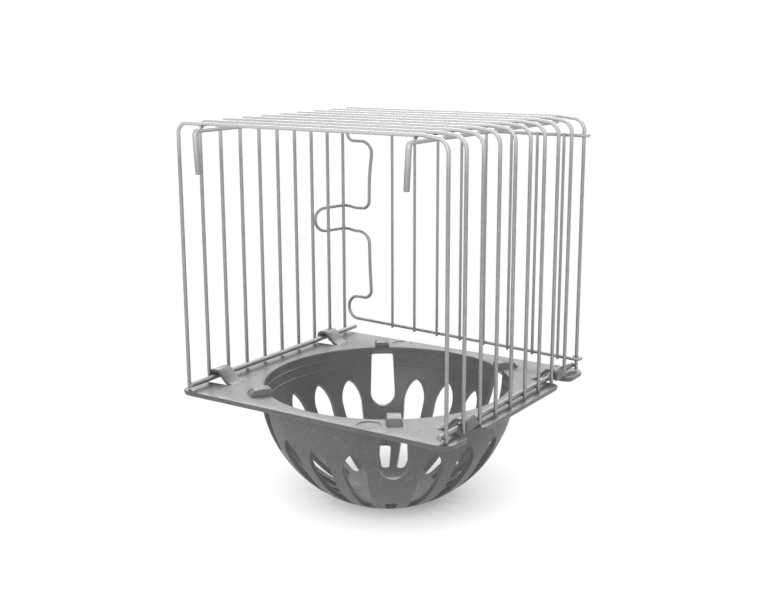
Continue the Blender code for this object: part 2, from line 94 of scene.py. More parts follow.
# Pan sizes shared with the solids
BOWL_RADIUS = 0.0544
BOWL_WALL = 0.0022
FOOT_RADIUS = 0.0123
FLANGE_THICKNESS = 0.002
FLANGE_SIDE_MARGIN = 0.003
FLANGE_END_MARGIN = 0.0032
FLANGE_LIP = 0.003
FLANGE_CORNER_RADIUS = 0.005
LOBE_RADIUS = 0.003
NOTCH_GAP = 0.0009
NOTCH_FLARE = 0.0003
RIDGE_DROPS = (0.0042, 0.0085)
SLOT_COUNT = 20
WINDOW_SLOTS = (3, 7, 13, 17)
PETAL_AXIS = radians(50)
PETAL_TOP = radians(74.4)
PETAL_WIDEST = radians(63)
PETAL_BOTTOM = radians(23.5)
PETAL_WIDTH = 0.0096
PETAL_END_WIDTH = 0.0042
WINDOW_DROP = 0.0013
WINDOW_DEPTH = 0.0254
WINDOW_TOP_WIDTH = 0.0098
WINDOW_WIDTH = 0.0118
LOWER_SLOT_TOP = radians(39)
LOWER_SLOT_WIDTH = 0.006
LOWER_SLOT_END_WIDTH = 0.0034
TAB_WIDTH = 0.0066
TAB_HEIGHT = 0.0026
TAB_THICKNESS = 0.0018
TAB_OVERHANG = 0.001
TAB_ROOT = 0.0066
TAB_RAMP = 0.0044
CLIP_WIDTH = 0.008
CLIP_REACH = 0.0092
CLIP_TIP_DROP = 0.0016
CLIP_OUTSIDE = 0.00315
CLIP_HOOPS = (1, 7)
CLIP_SHIFT = 0.0012
RING_RADIUS = 0.0046
RING_X = 0.0268
RING_EDGE = 0.0056

CAGE_HALF = CAGE_WIDTH / 2
ROW_HALF = (HOOP_COUNT - 1) * HOOP_PITCH / 2
BOWL_CENTRE = sqrt(BOWL_RADIUS**2 - FOOT_RADIUS**2)
BOWL_INSIDE = BOWL_RADIUS - BOWL_WALL
FLANGE_TOP = BOWL_CENTRE
FLANGE_X = CAGE_HALF + FLANGE_SIDE_MARGIN
FLANGE_Y = max(ROW_HALF + FLANGE_END_MARGIN, BOWL_RADIUS + FLANGE_LIP)
RAIL_Z = FLANGE_TOP + RAIL_LIFT + RAIL_WIRE / 2
RAIL_X = CAGE_HALF - HOOP_WIRE / 2 - WELD_GAP - RAIL_WIRE / 2
HOOP_TOP = RAIL_Z + HOOP_HEIGHT
HANGER_X = CAGE_HALF - HANGER_INSET
HANGER_Z = HOOP_TOP - HOOP_WIRE / 2 - WELD_GAP - HANGER_WIRE / 2
EYE_RADIUS = HOOP_WIRE / 2 + EYE_GAP + DOOR_WIRE / 2
HINGE = Vector((CAGE_HALF, ROW_HALF, RAIL_Z))
MARKS = [(side * RING_X, -side * (FLANGE_Y - RING_EDGE)) for side in (1, -1)]

# Finer detail of the wires
BEND_STEPS = 12
LEAST_BEND_STEPS = 3
STRAIGHT = 1e-4
WIRE_SIDES = 18
CUT_CHAMFER = 0.00018
BUMP_SLACK = 0.0001
EDGE_UPPER_RADIUS = 0.0056
EDGE_LATCH_RADIUS = 0.0058
EDGE_WAVE_SHARE = 0.5
EDGE_WAVE_LEAN = 0.0003
EDGE_WAVE_RADIUS = 0.08

# Weld beads: half sizes along, across and out, then height and scale of their unevenness
RAIL_BEAD = (0.00075, 0.00072, 0.00042)
HANGER_BEAD = (0.00075, 0.0007, 0.00042)
BAR_BEAD = (0.0004, 0.00045, 0.00036)
DROP_BEAD = (0.0009, 0.0008, 0.0007)
BEAD_LUMPS = (0.3, 1.6)
BEAD_GRAIN = (0.12, 4.1)
BAR_SEED_STEP = 90

# Drops of weld on the front right leg: degrees round it, height and share of a full drop
WELD_DROPS = ((200, 0.0016, 0.42), (250, 0.001, 0.55), (290, -0.0002, 0.5), (230, -0.0011, 0.38))
DROP_REACH = 0.46

# Finer detail of the pan
RIM_ROUND = 0.0007
UNDER_ROUND = 0.0008
SLOT_ROUND = 0.0003
RIDGE_DEPTH = 0.0002
PETAL_POINT = 1.3
WINDOW_TOP_RADIUS = 0.0009
WINDOW_END_ROUND = 0.98
WINDOW_UNDER_TOP = 0.0036
WINDOW_SHOULDER = 0.007
LOWER_SLOT_TOP_ROUND = 0.5
LOWER_SLOT_END_ROUND = 0.7
NOTCH_ROOT_GAP = 0.0004
FLANGE_ROUND = 0.0005
FLANGE_UNDER_ROUND = 0.0004
PARTING_STEP = 0.00024
PARTING_TOP = 0.00098
PARTING_LOW = 0.0011
MARK_DEPTH = 0.00032

# Finer detail of the tabs and clips, with shoulder and crest as shares of ramp and height
TAB_SUNK = 0.75
TAB_SHOULDER = (0.45, 0.85)
TAB_CREST = (1.6, 1.08)
TAB_TIP = 0.9
TAB_RADII = (0.0009, 0.0015, 0.004, 0.01, 0.0013, 0.0009, 0.001)
TAB_TAPER = 0.14
TAB_EDGE = 0.0005
TAB_RECESS = 0.00018
SIDE_LIP = 0.0001
PANEL_STEPS = ((0.0003, 0.1), (0.0005, 0.9), (0.0007, 1.0))
PANEL_FOOT = 0.0003
PANEL_LENGTH = 0.5
GRAIN_MARGIN = 0.0004
GRAIN_FOOT = 0.0002
FACES_OUT = 0.3
FACES_SIDEWAYS = 0.75
CLIP_THICKNESS = 0.0013
CLIP_FLAT = 0.002
CLIP_HEEL = 0.0033
CLIP_CREST = 0.0019
CLIP_ROOT_DROP = 0.00003
CLIP_RADII = (0, 0.006, 0.002, 0.0018, 0)
CLIP_EDGE = 0.0003
CLIP_END_STEPS = 8

# Spacing of the points on the pan's meshes
SHEET_STEP = 0.0022
ROW_STEP = SHEET_STEP * 0.9
LOOP_STEP = 0.0008
LOWER_LOOP_STEP = LOOP_STEP * 0.8
OUTLINE_STEP = 0.001
BLOCK_STEP = 0.00022
GRID_STEP = 0.0032
GRID_REACH = (0.064, 0.058)
RIM_POINTS = 360
FLOOR_POINTS = 36
FILLET_STEPS = 4
RIDGE_SHARES = (-2.2, -1.0, -0.5, 0.0, 0.5, 1.0, 2.2)
RIM_GUARD = 0.0003
ROW_RIM_CLEAR = 0.0012
ROW_RING_CLEAR = 0.0009
GRID_RIM_CLEAR = 0.0016
LOOSE_CLEAR = 0.00075
CLOSE_CLEAR = 0.0003
MARK_CLEAR = 0.0012
TOUCHING = 1e-6
SAME_PLACE = 1e-9

# Radius and number of points of the rings in and round a mould mark
MARK_RINGS = [(radius, 20) for radius in (0.002, 0.0036)]
MARK_RINGS += [(RING_RADIUS + offset, 72) for offset in (-0.0002, -0.00008, 0.00008, 0.0003)]

# Pairs of a light and a dark colour, then the finish of the wires, then the heights and strength of the
# painted light on the wires' tops
ZINC = ((0.4, 0.4, 0.395), (0.32, 0.32, 0.315))
WELD = ((0.3, 0.3, 0.29), (0.15, 0.15, 0.145))
PLASTIC = ((0.26, 0.265, 0.258), (0.217, 0.222, 0.215))
GRAINY_PLASTIC = ((0.33, 0.335, 0.33), (0.23, 0.235, 0.23))
PAPER = ((0.74, 0.74, 0.74), (0.7, 0.7, 0.7))
WIRE_ROUGH = (0.38, 0.52)
RAIL_ROUGH = (0.48, 0.62)
DRAWN_LINES = (90.0, 5200.0, 5200.0)
PAINTED_LIGHT_FROM = (0.148, 0.1625)
PAINTED_LIGHT_MOST = 0.65

# Studio
FLOOR_LIFT = 0.32
FLOOR_FADE = (0.028, 0.056)
SHADOW_SHIFT = (0.005, -0.015, 0.0)
WHITE = (1.0, 1.0, 1.0, 1.0)
LIGHT_TARGET = Vector((0.0, 0.0, 0.06))
CAMERA_TURN = radians(33.571)
CAMERA_TILT = radians(13.041)
CAMERA_ROLL = radians(-0.217)
CAMERA_PLACE = (0.25991, -0.393652, 0.1957812)

X_AXIS = Vector((1, 0, 0))
Y_AXIS = Vector((0, 1, 0))
Z_AXIS = Vector((0, 0, 1))


# Shader nodes
def feed(tree, made, inputs):
    """Links each input of a node to a socket, or sets it to a value."""
    for key, value in inputs.items():
        if isinstance(value, bpy.types.NodeSocket):
            tree.links.new(value, made.inputs[key])
        else:
            made.inputs[key].default_value = value


def node(tree, kind, inputs=None, **settings):
    made = tree.nodes.new(kind)
    for key, value in settings.items():
        setattr(made, key, value)
    feed(tree, made, inputs or {})
    return made


def fresh_material(name):
    material = bpy.data.materials.new(name)
    material.use_nodes = True
    tree = material.node_tree
    return material, tree, tree.nodes["Principled BSDF"]


def object_place(tree):
    return node(tree, "ShaderNodeTexCoord").outputs["Object"]


def noise_node(tree, vector, scale, detail=3.0, rough=0.6, distortion=0.0):
    inputs = {"Vector": vector, "Scale": scale, "Detail": detail}
    inputs.update({"Roughness": rough, "Distortion": distortion})
    return node(tree, "ShaderNodeTexNoise", inputs).outputs["Fac"]


def mapped(tree, vector, **values):
    return node(tree, "ShaderNodeMapping", {"Vector": vector, **values}).outputs["Vector"]


def span(tree, value, source, target=(0.0, 1.0)):
    """The value carried from one range to another and held at its ends."""
    limits = zip(("From Min", "From Max", "To Min", "To Max"), (*source, *target))
    return node(tree, "ShaderNodeMapRange", {"Value": value, **dict(limits)}).outputs["Result"]


def combine(tree, operation, first, second):
    return node(tree, "ShaderNodeMath", {0: first, 1: second}, operation=operation).outputs["Value"]


def blend(tree, factor, first, second):
    """A blend of two colours, each a tuple or a socket."""
    made = node(tree, "ShaderNodeMix", {"Factor": factor}, data_type="RGBA")
    keys = [i for i, socket in enumerate(made.inputs) if socket.type == "RGBA"]
    colours = [(*colour, 1.0) if isinstance(colour, tuple) else colour for colour in (first, second)]
    feed(tree, made, dict(zip(keys, colours)))
    return [socket for socket in made.outputs if socket.type == "RGBA"][0]


def blend_shaders(tree, factor, first, second, output):
    """Sends a blend of two shaders to the tree's output node."""
    made = node(tree, "ShaderNodeMixShader", {"Fac": factor, 1: first, 2: second})
    feed(tree, tree.nodes[output], {"Surface": made.outputs["Shader"]})


def bump(tree, height, distance, strength, **before):
    """The normal of a bumped surface, on top of another bump if given as Normal."""
    inputs = {"Height": height, "Distance": distance, "Strength": strength, **before}
    return node(tree, "ShaderNodeBump", inputs).outputs["Normal"]


def toned(colour, share):
    return tuple(min(1.0, share * channel) for channel in colour)


# Materials
def wire_material(name, rough, seed):
    """Zinc-plated drawn wire, cloudy and spotted, with painted light that makes it paler towards the top of
    the cage.
    """
    light, dark = ZINC
    material, tree, shader = fresh_material(name)
    along = node(tree, "ShaderNodeAttribute", attribute_name="wire_pos").outputs["Vector"]
    place = mapped(tree, along, Location=(seed * 0.37, seed * 0.011, 0.0))
    lines = noise_node(tree, mapped(tree, place, Scale=DRAWN_LINES), scale=1.0)
    clouds = noise_node(tree, place, scale=420.0, detail=4.0)
    spots = noise_node(tree, place, scale=1900.0, detail=2.0, rough=0.5)
    height = node(tree, "ShaderNodeSeparateXYZ", {"Vector": object_place(tree)}).outputs["Z"]
    dull = toned(dark, 0.72)
    colour = blend(tree, span(tree, clouds, (0.3, 0.7)), dark, light)
    colour = blend(tree, span(tree, spots, (0.66, 0.8), (0.0, 0.4)), colour, dull)
    colour = blend(tree, span(tree, lines, (0.58, 0.85), (0.0, 0.4)), colour, dull)
    # Painted light: the colour is blended towards a pale tone with height, standing in for light falling on
    # the top wires
    painted_top_light = span(tree, height, PAINTED_LIGHT_FROM, (0.0, PAINTED_LIGHT_MOST))
    colour = blend(tree, painted_top_light, colour, toned(light, 1.9))
    normal = bump(tree, lines, distance=0.00002, strength=0.3)
    feed(tree, shader, {
        "Base Color": colour,
        "Metallic": 1.0,
        "Specular Tint": (0.35, 0.35, 0.35, 1.0),
        "Roughness": span(tree, clouds, (0.25, 0.75), rough),
        "Normal": bump(tree, clouds, distance=0.00003, strength=0.25, Normal=normal),
    })
    return material


def weld_material():
    """Weld metal, darker, scalier and rougher than the wire."""
    light, dark = WELD
    material, tree, shader = fresh_material("weld_metal")
    place = object_place(tree)
    scale = noise_node(tree, place, scale=2600.0, detail=4.0, rough=0.65)
    tint = noise_node(tree, place, scale=900.0, detail=2.0, rough=0.5)
    feed(tree, shader, {
        "Base Color": blend(tree, span(tree, tint, (0.35, 0.65)), dark, light),
        "Metallic": 1.0,
        "Roughness": span(tree, scale, (0.3, 0.7), (0.38, 0.62)),
        "Normal": bump(tree, scale, distance=0.0001, strength=0.6),
    })
    return material


def plastic_material(name, colours, rough, speckle, grain=1.0, speck_scale=1400.0, specks_at=(0.64, 0.7)):
    """Moulded grey plastic with clouds, streaks, specks and a fine skin."""
    light, dark = colours
    material, tree, shader = fresh_material(name)
    place = object_place(tree)
    clouds = noise_node(tree, place, scale=60.0, detail=4.0)
    skin = noise_node(tree, place, scale=2600.0)
    streaks = noise_node(tree, place, scale=260.0, distortion=0.8)
    specks = noise_node(tree, place, scale=speck_scale, detail=1.0, rough=0.4)
    pits = noise_node(tree, place, scale=1100.0, detail=1.0, rough=0.4)
    colour = blend(tree, span(tree, clouds, (0.3, 0.7)), dark, light)
    colour = blend(tree, span(tree, streaks, (0.5, 0.8), (0.0, 0.6)), colour, toned(dark, 0.86))
    colour = blend(tree, span(tree, specks, specks_at, (0.0, speckle)), colour, toned(light, 1.75))
    colour = blend(tree, span(tree, pits, (0.28, 0.22), (0.0, 0.3)), colour, toned(dark, 0.5))
    normal = bump(tree, skin, distance=0.00005, strength=0.35 * grain)
    feed(tree, shader, {
        "Base Color": colour,
        "Roughness": span(tree, streaks, (0.25, 0.75), rough),
        "Normal": bump(tree, streaks, distance=0.00012, strength=0.25 * grain, Normal=normal),
    })
    return material


def seen_directly(tree):
    """1 for rays from the camera and for mirrored and transmitted rays, else 0."""
    rays = node(tree, "ShaderNodeLightPath").outputs
    either = combine(tree, "MAXIMUM", rays["Is Camera Ray"], rays["Is Glossy Ray"])
    return combine(tree, "MAXIMUM", either, rays["Is Transmission Ray"])


def floor_material():
    """White paper, pure white away from the object, with a soft shadow."""
    light, dark = PAPER
    material, tree, shader = fresh_material("studio_floor")
    place = object_place(tree)
    colour = blend(tree, noise_node(tree, place, scale=900.0), dark, light)
    feed(tree, shader, {"Base Color": colour, "Roughness": 0.9, "Specular IOR Level": 0.1})
    from_shadow = mapped(tree, place, Location=SHADOW_SHIFT)
    distance = node(tree, "ShaderNodeVectorMath", {0: from_shadow}, operation="LENGTH").outputs["Value"]
    far = span(tree, distance, FLOOR_FADE, (FLOOR_LIFT, 1.0))
    white = node(tree, "ShaderNodeEmission", {"Strength": 1.0})
    factor = combine(tree, "MULTIPLY", far, seen_directly(tree))
    blend_shaders(tree, factor, shader.outputs["BSDF"], white.outputs["Emission"], "Material Output")
    return material


# Paths and outlines
def quarter(steps):
    """Angles from 0 to 90 degrees in this many steps."""
    return [pi / 2 * i / steps for i in range(steps + 1)]


def ties(start, count):
    """Pairs of neighbours in a closed ring of points numbered from start."""
    return [(start + i, start + (i + 1) % count) for i in range(count)]


def bend(before, corner, after, radius):
    """Points of a round bend that replaces a sharp corner."""
    into = (corner - before).normalized()
    out = (after - corner).normalized()
    turn = into.angle(out)
    if radius <= 0 or turn < STRAIGHT:
        return [corner]
    start = corner - into * radius * tan(turn / 2)
    centre = corner + (out - into).normalized() * radius / cos(turn / 2)
    axis = into.cross(out).normalized()
    spoke = start - centre
    steps = max(LEAST_BEND_STEPS, ceil(BEND_STEPS * turn / (pi / 2)))
    return [centre + Matrix.Rotation(turn * i / steps, 3, axis) @ spoke for i in range(steps + 1)]


def rounded(corners, radii, closed=False):
    """The path through the corners, each rounded to its radius."""
    corners = [Vector(corner) for corner in corners]
    count = len(corners)
    path = []
    for i, corner in enumerate(corners):
        if not closed and i in (0, count - 1):
            path.append(corner)
            continue
        path += bend(corners[i - 1], corner, corners[(i + 1) % count], radii[i])
    return path


def closed_outline(pairs):
    """Flat points of a closed outline through pairs of a corner and its radius."""
    corners, radii = zip(*pairs)
    path = rounded([(x, y, 0) for x, y in corners], radii, True)
    return [(point.x, point.y) for point in path]


def resampled(outline, step):
    """The closed outline with evenly spaced points, as an array."""
    points = np.array(outline)
    ring = np.vstack([points, points[:1]])
    lengths = np.hypot(*np.diff(ring, axis=0).T)
    at = np.concatenate([[0.0], np.cumsum(lengths)])
    count = int(round(at[-1] / step))
    wanted = np.arange(count) * at[-1] / count
    return np.column_stack([np.interp(wanted, at, values) for values in ring.T])


def signed_area(points):
    """Area of a closed outline, above 0 where it runs anticlockwise."""
    after = np.roll(points, -1, axis=0)
    return 0.5 * np.sum(points[:, 0] * after[:, 1] - after[:, 0] * points[:, 1])


def grown(points, distance):
    """The closed outline moved outwards by this distance."""
    along = np.roll(points, -1, axis=0) - np.roll(points, 1, axis=0)
    along /= np.hypot(*along.T)[:, None]
    outwards = np.column_stack([along[:, 1], -along[:, 0]]) * (1.0 if signed_area(points) > 0 else -1.0)
    return points + outwards * distance


def inside(points, outline):
    """Which of the points lie inside the closed outline."""
    x, y = points.T
    result = np.zeros(len(points), bool)
    for (x0, y0), (x1, y1) in zip(outline, np.roll(outline, -1, axis=0)):
        if y0 == y1:
            continue
        cross = (y0 > y) != (y1 > y)
        result ^= cross & (x < (x1 - x0) * (y - y0) / (y1 - y0) + x0)
    return result


def between(points, loops):
    """Which of the points lie inside the first loop and outside the others."""
    good = inside(points, loops[0])
    for loop in loops[1:]:
        good &= ~inside(points, loop)
    return good


# Meshes
def new_object(name, data):
    made = bpy.data.objects.new(name, data)
    bpy.context.scene.collection.objects.link(made)
    return made


def dressed(name, mesh, materials, sharp=None):
    """The object of a mesh, smooth but for edges over the sharp angle."""
    mesh.shade_smooth()
    if sharp is not None:
        mesh.set_sharp_from_angle(angle=sharp)
    for material in materials:
        mesh.materials.append(material)
    return new_object(name, mesh)


def finished(name, shape, materials, sharp=None, matrix=None, pick=None):
    bmesh.ops.recalc_face_normals(shape, faces=shape.faces)
    if pick is not None:
        for face in shape.faces:
            face.material_index = pick(face)
    mesh = bpy.data.meshes.new(name)
    shape.to_mesh(mesh)
    shape.free()
    if matrix is not None:
        mesh.transform(matrix)
    return dressed(name, mesh, materials, sharp)


def new_ring(shape, places):
    return [shape.verts.new(place) for place in places]


def bridge(shape, rings):
    """Joins each closed ring of vertices to the next one with faces."""
    for first, second in zip(rings, rings[1:]):
        for i, j in ties(0, len(first)):
            shape.faces.new((first[i], first[j], second[j], second[i]))


def triangulated(loops, points):
    """Places and triangles between the loops, and the numbers of the loops' own places."""
    edges, numbers, start = [], [], 0
    for loop in loops:
        edges += ties(start, len(loop))
        numbers.append(range(start, start + len(loop)))
        start += len(loop)
    everything = [Vector((x, y)) for x, y in np.vstack([*loops, points])]
    made, _, faces, origins, *_ = delaunay_2d_cdt(everything, edges, [], 0, SAME_PLACE, True)
    places = np.array([(place.x, place.y) for place in made])
    triangles = np.array([tuple(face) for face in faces if len(face) == 3])
    triangles = triangles[between(places[triangles].mean(axis=1), loops)]
    where = {source: i for i, sources in enumerate(origins) for source in sources}
    return places, triangles, [[where[number] for number in loop] for loop in numbers]


def cap(shape, ring):
    line = np.array([(vertex.co.x, vertex.co.y) for vertex in ring])
    _, triangles, numbers = triangulated([line], np.empty((0, 2)))
    vertices = dict(zip(numbers[0], ring))
    for triangle in triangles:
        shape.faces.new([vertices[i] for i in triangle])


# Cage and door wires
def hoop_y(index):
    return -ROW_HALF + index * HOOP_PITCH


def hoop_points(index):
    y = hoop_y(index)
    foot = FLANGE_TOP + LEG_FOOT_GAP
    corners = [
        (-CAGE_HALF, y, foot),
        (-CAGE_HALF, y, HOOP_TOP),
        (HANGER_X + HANGER_WIRE, y, HOOP_TOP),
        (CAGE_HALF, y, HOOP_TOP - HOOP_DROOP),
        (CAGE_HALF, y, foot),
    ]
    return rounded(corners, [0, HOOP_LEFT_RADIUS, HOOP_DROOP_RADIUS, HOOP_RIGHT_RADIUS, 0])


def hanger_points(side):
    x = side * HANGER_X
    front = -ROW_HALF - HOOK_REACH
    corners = [
        (x, ROW_HALF + HANGER_BACK_END, HANGER_Z),
        (x, front, HANGER_Z),
        (x - side * HOOK_LEAN, front, HANGER_Z - HOOK_DROP),
    ]
    return rounded(corners, [0, HOOK_BEND_RADIUS, 0])


def rail_height(x):
    """Height of the door's bottom rail at this distance from the hinge."""
    free = CAGE_WIDTH - EDGE_SETBACK
    return DOOR_BOTTOM_HINGE_Z + (DOOR_BOTTOM_FREE_Z - DOOR_BOTTOM_HINGE_Z) * x / free


def eye_points(height):
    """An eye round the hinge leg, from its free end to the rail."""
    steps = ceil(BEND_STEPS * EYE_WRAP / (pi / 2))
    turns = [-pi / 2 + EYE_WRAP * (1 - i / steps) for i in range(steps + 1)]
    return [Vector((EYE_RADIUS * cos(turn), EYE_RADIUS * sin(turn), height)) for turn in turns]


def latch_corners(low, high):
    """Corners and bend radii of the finger loop round the left leg."""
    plane = -EYE_RADIUS
    beside = -CAGE_WIDTH + EYE_RADIUS
    run_in = -CAGE_WIDTH + LATCH_RUN_IN
    wrap = -CAGE_WIDTH - EYE_RADIUS * tan(LATCH_TURN / 2)
    dip = -LATCH_LENGTH * tan(LATCH_DIP)
    out = Vector((-cos(LATCH_TURN), -sin(LATCH_TURN), 0.0)) * LATCH_LENGTH
    end = Vector((wrap, EYE_RADIUS, dip)) + out
    loop = LATCH_HEIGHT / 2 - BUMP_SLACK
    return [
        ((run_in, plane, low), EDGE_RADIUS),
        ((beside, EYE_RADIUS, low), EDGE_RADIUS),
        ((wrap, EYE_RADIUS, low), EYE_RADIUS),
        ((end.x, end.y, low + dip), loop),
        ((end.x, end.y, high + dip), loop),
        ((wrap, EYE_RADIUS, high), EYE_RADIUS),
        ((beside, EYE_RADIUS, high), EDGE_RADIUS),
        ((run_in, plane, high), EDGE_RADIUS),
    ]


def door_edge_corners():
    """Corners and bend radii of the wavy free edge, from the bottom rail to the top one."""
    plane = -EYE_RADIUS
    straight = EDGE_SETBACK - CAGE_WIDTH
    tip = BUMP_CLEARANCE - CAGE_WIDTH
    low = rail_height(CAGE_WIDTH - BUMP_CLEARANCE)
    low_back = low + LOWER_BUMP_HEIGHT
    high_back = DOOR_TOP_Z - UPPER_BUMP_HEIGHT
    latch_low = LATCH_Z - LATCH_HEIGHT / 2
    latch_high = LATCH_Z + LATCH_HEIGHT / 2
    low_wave = latch_low + EDGE_WAVE_SHARE * (low_back - latch_low)
    high_wave = latch_high + EDGE_WAVE_SHARE * (high_back - latch_high)
    lower_bump = LOWER_BUMP_HEIGHT / 2 - BUMP_SLACK
    upper_bump = UPPER_BUMP_HEIGHT / 2 - BUMP_SLACK
    return [
        ((tip, plane, low), lower_bump),
        ((tip, plane, low_back), lower_bump),
        ((straight + EDGE_LOWER_LEAN, plane, low_back), EDGE_RADIUS),
        ((straight + EDGE_WAVE_LEAN, plane, low_wave), EDGE_WAVE_RADIUS),
        ((straight, plane, latch_low), EDGE_LATCH_RADIUS),
        *latch_corners(latch_low, latch_high),
        ((straight, plane, latch_high), EDGE_RADIUS),
        ((straight + EDGE_WAVE_LEAN, plane, high_wave), EDGE_WAVE_RADIUS),
        ((straight + EDGE_UPPER_LEAN, plane, high_back), EDGE_UPPER_RADIUS),
        ((tip, plane, high_back), upper_bump),
        ((tip, plane, DOOR_TOP_Z), upper_bump),
    ]


def door_frame_points():
    start = (0.0, -EYE_RADIUS, rail_height(0.0))
    finish = (0.0, -EYE_RADIUS, DOOR_TOP_Z)
    corners, radii = zip((start, 0), *door_edge_corners(), (finish, 0))
    middle = rounded(corners, radii)
    points = eye_points(rail_height(0.0)) + middle[1:-1] + eye_points(DOOR_TOP_Z)[::-1]
    return [HINGE + point for point in points]


def bar_place(index):
    return BAR_FIRST + index * BAR_PITCH


def bar_points(index):
    x = bar_place(index)
    y = -EYE_RADIUS - DOOR_WIRE / 2 - WELD_GAP - BAR_WIRE / 2
    low = rail_height(x) - DOOR_WIRE / 2 - BAR_END
    high = DOOR_TOP_Z + DOOR_WIRE / 2 + BAR_END
    return [HINGE + Vector((-x, y, low)), HINGE + Vector((-x, y, high))]


def wire_stations(points, radius):
    """Places and radii along a wire with chamfered ends, and its two end directions."""
    path = [Vector(points[0])]
    for point in map(Vector, points[1:]):
        if (point - path[-1]).length > TOUCHING:
            path.append(point)
    first = (path[1] - path[0]).normalized()
    last = (path[-1] - path[-2]).normalized()
    stations = [(path[0], radius - CUT_CHAMFER), (path[0] + first * CUT_CHAMFER, radius)]
    stations += [(point, radius) for point in path[1:-1]]
    stations += [(path[-1] - last * CUT_CHAMFER, radius), (path[-1], radius - CUT_CHAMFER)]
    return stations, first, last


def wire_tangents(places, first, last):
    """The wire's direction at each place, halfway between its two runs."""
    runs = [(after - before).normalized() for before, after in zip(places, places[1:])]
    return [(into + out).normalized() for into, out in zip([first, *runs], [*runs, last])]


def tube_faces(rings):
    last = (rings - 1) * WIRE_SIDES
    faces = []
    for start in range(0, last, WIRE_SIDES):
        for i, j in ties(start, WIRE_SIDES):
            faces.append((i, j, j + WIRE_SIDES, i + WIRE_SIDES))
    faces.append(tuple(range(WIRE_SIDES))[::-1])
    faces.append(tuple(range(last, last + WIRE_SIDES)))
    return faces


def wire_piece(name, points, diameter, material):
    """A round wire, with coordinates along and round it for its material."""
    radius = diameter / 2
    stations, first, last = wire_stations(points, radius)
    places = [place for place, size in stations]
    tangents = wire_tangents(places, first, last)
    turns = [2 * pi * k / WIRE_SIDES for k in range(WIRE_SIDES)]
    side = tangents[0].orthogonal().normalized()
    length = 0.0
    vertices, coordinates = [], []
    for i, (place, size) in enumerate(stations):
        if i:
            length += (place - places[i - 1]).length
            side = tangents[i - 1].rotation_difference(tangents[i]) @ side
        up = tangents[i].cross(side)
        for turn in turns:
            vertices.append(place + size * (cos(turn) * side + sin(turn) * up))
            coordinates += [length, radius * cos(turn), radius * sin(turn)]
    mesh = bpy.data.meshes.new(name)
    mesh.from_pydata(vertices, [], tube_faces(len(stations)))
    held = mesh.attributes.new("wire_pos", "FLOAT_VECTOR", "POINT")
    held.data.foreach_set("vector", coordinates)
    return dressed(name, mesh, [material], sharp=radians(32))


# Welds
def bead(shape, centre, along, across, sizes, seed):
    out = along.cross(across)
    # Each seed reads the noise at a place of its own
    lumps = (*BEAD_LUMPS, Vector((seed * 1.7, seed * 0.6, 0.3)))
    grain = (*BEAD_GRAIN, Vector((0.2, seed * 1.1, seed)))
    made = bmesh.ops.create_icosphere(shape, subdivisions=2, radius=1.0)
    for vertex in made["verts"]:
        ball = vertex.co.copy()
        swell = 1.0
        for height, scale, shift in (lumps, grain):
            swell *= 1.0 + height * noise.noise(ball * scale + shift)
        spot = ball.x * sizes[0] * along + ball.y * sizes[1] * across + ball.z * sizes[2] * out
        vertex.co = centre + swell * spot


def frame_welds(material):
    shape = bmesh.new()
    seed = 1
    for index in range(HOOP_COUNT):
        for side in (-1, 1):
            at_rail = Vector((side * (CAGE_HALF - HOOP_WIRE / 2 - WELD_GAP / 2), hoop_y(index), RAIL_Z))
            bead(shape, at_rail, Z_AXIS, Y_AXIS, RAIL_BEAD, seed)
            at_top = Vector((side * HANGER_X, hoop_y(index), HOOP_TOP - HOOP_WIRE / 2 - WELD_GAP / 2))
            bead(shape, at_top, X_AXIS, Y_AXIS, HANGER_BEAD, seed + 0.5)
            seed += 1
    leg = Vector((CAGE_HALF, hoop_y(0), RAIL_Z))
    for degrees, height, share in WELD_DROPS:
        turn = radians(degrees)
        out = Vector((cos(turn), sin(turn), 0))
        spot = leg + out * HOOP_WIRE * DROP_REACH + Vector((0, 0, height))
        bead(shape, spot, Z_AXIS, Y_AXIS, [size * share for size in DROP_BEAD], degrees)
    return finished("frame_weld_beads", shape, [material])


def door_welds(material):
    shape = bmesh.new()
    y = -EYE_RADIUS - DOOR_WIRE / 2 - WELD_GAP / 2
    for index in range(BAR_COUNT):
        x = bar_place(index)
        for height in (rail_height(x), DOOR_TOP_Z):
            spot = HINGE + Vector((-x, y, height))
            bead(shape, spot, Z_AXIS, X_AXIS, BAR_BEAD, index + height * BAR_SEED_STEP)
    return finished("door_weld_beads", shape, [material])


# Outlines of the pan
def clip_y(index):
    middle = hoop_y(index) + HOOP_PITCH / 2
    return middle + copysign(CLIP_SHIFT, middle)


def flange_outline():
    """The flange from above, with an open notch under each clip."""
    notch_in = RAIL_X - CLIP_REACH
    notch_half = CLIP_WIDTH / 2 + NOTCH_ROOT_GAP
    mouth_half = CLIP_WIDTH / 2 + NOTCH_GAP + NOTCH_FLARE
    root_radius = NOTCH_ROOT_GAP * 2
    right = [((FLANGE_X, -FLANGE_Y), FLANGE_CORNER_RADIUS)]
    for index in CLIP_HOOPS:
        middle = clip_y(index)
        right += [
            ((FLANGE_X, middle - mouth_half), LOBE_RADIUS),
            ((notch_in, middle - notch_half), root_radius),
            ((notch_in, middle + notch_half), root_radius),
            ((FLANGE_X, middle + mouth_half), LOBE_RADIUS),
        ]
    right.append(((FLANGE_X, FLANGE_Y), FLANGE_CORNER_RADIUS))
    left = [((-x, y), radius) for (x, y), radius in reversed(right)]
    return closed_outline(right + left)


